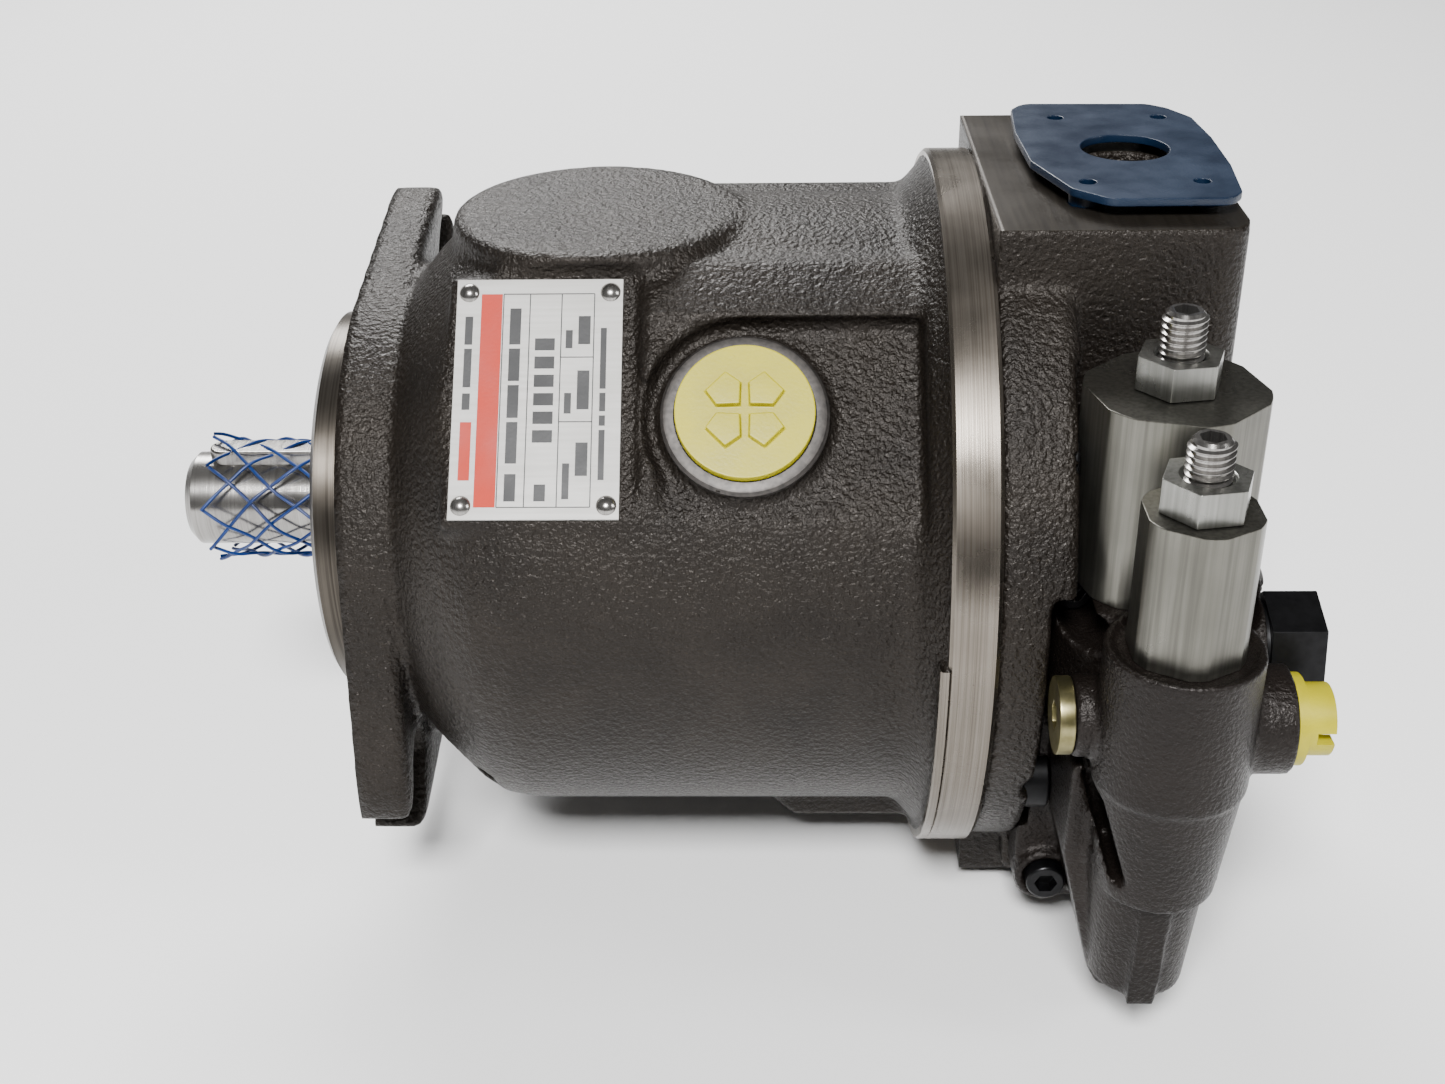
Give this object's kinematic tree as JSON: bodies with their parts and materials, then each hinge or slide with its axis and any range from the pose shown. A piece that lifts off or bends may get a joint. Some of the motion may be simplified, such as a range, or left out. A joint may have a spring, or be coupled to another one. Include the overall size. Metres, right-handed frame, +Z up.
{
  "type": "axial piston pump",
  "caption": "Swash-plate axial piston pump with a keyed drive shaft, oval mounting flange, port plate with top and bottom ports, and a side control valve with adjusters.",
  "frame": {"origin": "centre of the mounting flange face, on the drive shaft axis", "axes": "+X along the shaft from the mounting face to the port plate (the shaft end points to -X), +Z up towards the pressure port, -Y towards the control valve"},
  "size_m": [0.2825, 0.2119, 0.1904],
  "materials": {
    "cast_iron": "rough dark cast iron",
    "machined_iron": "turned",
    "ground_steel": "ground",
    "bright_steel": "machined",
    "black_screw": "black oxide",
    "bronze": "satin",
    "gold_zinc": "yellow zinc",
    "rubber": "matt",
    "spring": "drawn wire",
    "yellow_cap": "satin",
    "blue_cover": "satin",
    "blue_net": "satin",
    "label": "satin printed"
  },
  "bodies": {
    "casing": {"housing": "cast_iron", "port_plate": "cast_iron", "plate_seal": "rubber", "plate_screws": "black_screw", "valve_disc": "bronze", "disc_pin": "ground_steel", "shaft_seal": "rubber", "seal_circlip": "spring", "front_bearing_cup": "ground_steel", "rear_bearing_cup": "ground_steel", "cradle_shells": "bronze", "control_sleeve": "ground_steel", "return_seat": "ground_steel", "return_spring": "spring", "valve_body": "cast_iron", "valve_screws": "black_screw", "pressure_spring": "spring", "flow_spring": "spring", "pressure_cap": "bright_steel", "flow_cap": "bright_steel", "cross_plug": "gold_zinc", "stop_plug": "black_screw", "drain_plug_rear": "ground_steel", "nameplate": "label", "nameplate_rivets": "ground_steel"},
    "rotor": {"drive_shaft": "ground_steel", "shaft_key": "ground_steel", "front_bearing_cone": "ground_steel", "rear_bearing_cone": "ground_steel", "cylinder_block": "ground_steel", "block_spring": "spring", "block_spring_pins": "ground_steel"},
    "slipper_set": {"slippers": "bronze", "retaining_plate": "ground_steel", "retainer_ball": "ground_steel"},
    "swash": {"swash_plate": "ground_steel"},
    "control_piston": {"control_piston": "ground_steel"},
    "return_piston": {"return_piston": "ground_steel"},
    "pressure_spool": {"pressure_spool": "ground_steel", "pressure_seat": "ground_steel"},
    "flow_spool": {"flow_spool": "ground_steel", "flow_seat": "ground_steel"},
    "pressure_screw": {"pressure_screw": "ground_steel"},
    "pressure_nut": {"pressure_nut": "bright_steel"},
    "flow_screw": {"flow_screw": "ground_steel"},
    "flow_nut": {"flow_nut": "bright_steel"},
    "drain_plug": {"drain_plug": "yellow_cap"},
    "pilot_plug": {"pilot_plug": "yellow_cap"},
    "pressure_cover": {"pressure_cover": "blue_cover"},
    "suction_cover": {"suction_cover": "blue_cover"},
    "shaft_net": {"shaft_net": "blue_net"},
    "piston_1": {"piston_1": "ground_steel"},
    "piston_2": {"piston_2": "ground_steel"},
    "piston_3": {"piston_3": "ground_steel"},
    "piston_4": {"piston_4": "ground_steel"},
    "piston_5": {"piston_5": "ground_steel"},
    "piston_6": {"piston_6": "ground_steel"},
    "piston_7": {"piston_7": "ground_steel"},
    "piston_8": {"piston_8": "ground_steel"},
    "piston_9": {"piston_9": "ground_steel"}
  },
  "joints": [
    {"name": "shaft_turn", "type": "hinge", "parent": "casing", "child": "rotor", "pos_m": [0, 0, 0], "axis": [1, 0, 0], "continuous": true},
    {"name": "swash_tilt", "type": "hinge", "parent": "casing", "child": "swash", "pos_m": [0.0615, 0, 0], "axis": [0, 0, 1], "range_deg": [0, 17]},
    {"name": "control_stroke", "type": "slide", "parent": "casing", "child": "control_piston", "axis": [1, 0, 0], "range_m": [0, 0.01696]},
    {"name": "return_stroke", "type": "slide", "parent": "casing", "child": "return_piston", "axis": [1, 0, 0], "range_m": [-0.01648, 0], "deforming": ["return_spring"]},
    {"name": "slipper_set_slide", "type": "slide", "parent": "rotor", "child": "slipper_set", "axis": [1, 0, 0], "range_m": [0, 0.01247]},
    {"name": "piston_1_slide", "type": "slide", "parent": "rotor", "child": "piston_1", "axis": [1, 0, 0], "range_m": [0, 0.01247]},
    {"name": "piston_2_slide", "type": "slide", "parent": "rotor", "child": "piston_2", "axis": [1, 0, 0], "range_m": [0, 0.01247]},
    {"name": "piston_3_slide", "type": "slide", "parent": "rotor", "child": "piston_3", "axis": [1, 0, 0], "range_m": [0, 0.01247]},
    {"name": "piston_4_slide", "type": "slide", "parent": "rotor", "child": "piston_4", "axis": [1, 0, 0], "range_m": [0, 0.01247]},
    {"name": "piston_5_slide", "type": "slide", "parent": "rotor", "child": "piston_5", "axis": [1, 0, 0], "range_m": [0, 0.01247]},
    {"name": "piston_6_slide", "type": "slide", "parent": "rotor", "child": "piston_6", "axis": [1, 0, 0], "range_m": [0, 0.01247]},
    {"name": "piston_7_slide", "type": "slide", "parent": "rotor", "child": "piston_7", "axis": [1, 0, 0], "range_m": [0, 0.01247]},
    {"name": "piston_8_slide", "type": "slide", "parent": "rotor", "child": "piston_8", "axis": [1, 0, 0], "range_m": [0, 0.01247]},
    {"name": "piston_9_slide", "type": "slide", "parent": "rotor", "child": "piston_9", "axis": [1, 0, 0], "range_m": [0, 0.01247]},
    {"name": "pressure_spool_slide", "type": "slide", "parent": "casing", "child": "pressure_spool", "axis": [0, 0, 1], "range_m": [-0.002, 0.003], "deforming": ["pressure_spring"]},
    {"name": "flow_spool_slide", "type": "slide", "parent": "casing", "child": "flow_spool", "axis": [0, 0, 1], "range_m": [-0.002, 0.003], "deforming": ["flow_spring"]},
    {"name": "pressure_screw_turn", "type": "hinge", "parent": "casing", "child": "pressure_screw", "pos_m": [0.192, -0.07, 0.07], "axis": [0, 0, 1], "range_deg": [-180, 180]},
    {"name": "pressure_nut_turn", "type": "hinge", "parent": "casing", "child": "pressure_nut", "pos_m": [0.192, -0.07, 0.07], "axis": [0, 0, 1], "range_deg": [-180, 180]},
    {"name": "flow_screw_turn", "type": "hinge", "parent": "casing", "child": "flow_screw", "pos_m": [0.192, -0.1033, 0.055], "axis": [0, 0, 1], "range_deg": [-180, 180]},
    {"name": "flow_nut_turn", "type": "hinge", "parent": "casing", "child": "flow_nut", "pos_m": [0.192, -0.1033, 0.055], "axis": [0, 0, 1], "range_deg": [-180, 180]},
    {"name": "drain_plug_pull", "type": "slide", "parent": "casing", "child": "drain_plug", "axis": [0, -0.7071, 0.7071], "range_m": [0, 0.03]},
    {"name": "pilot_plug_pull", "type": "slide", "parent": "casing", "child": "pilot_plug", "axis": [1, 0, 0], "range_m": [0, 0.02]},
    {"name": "pressure_cover_pull", "type": "slide", "parent": "casing", "child": "pressure_cover", "axis": [0, 0, 1], "range_m": [0, 0.02]},
    {"name": "suction_cover_pull", "type": "slide", "parent": "casing", "child": "suction_cover", "axis": [0, 0, -1], "range_m": [0, 0.02]},
    {"name": "shaft_net_pull", "type": "slide", "parent": "rotor", "child": "shaft_net", "axis": [-1, 0, 0], "range_m": [0, 0.05]}
  ],
  "couplings": [
    {"joint": "control_stroke", "follows": "swash_tilt", "m_per_rad": 0.0571},
    {"joint": "return_stroke", "follows": "swash_tilt", "m_per_rad": -0.0555},
    {"joint": "slipper_set_slide", "follows": "swash_tilt", "m_per_rad": 0.042},
    {"joint": "piston_1_slide", "follows": "swash_tilt", "m_per_rad": 0.042},
    {"joint": "piston_2_slide", "follows": "swash_tilt", "m_per_rad": 0.042},
    {"joint": "piston_3_slide", "follows": "swash_tilt", "m_per_rad": 0.042},
    {"joint": "piston_4_slide", "follows": "swash_tilt", "m_per_rad": 0.042},
    {"joint": "piston_5_slide", "follows": "swash_tilt", "m_per_rad": 0.042},
    {"joint": "piston_6_slide", "follows": "swash_tilt", "m_per_rad": 0.042},
    {"joint": "piston_7_slide", "follows": "swash_tilt", "m_per_rad": 0.042},
    {"joint": "piston_8_slide", "follows": "swash_tilt", "m_per_rad": 0.042},
    {"joint": "piston_9_slide", "follows": "swash_tilt", "m_per_rad": 0.042}
  ]
}
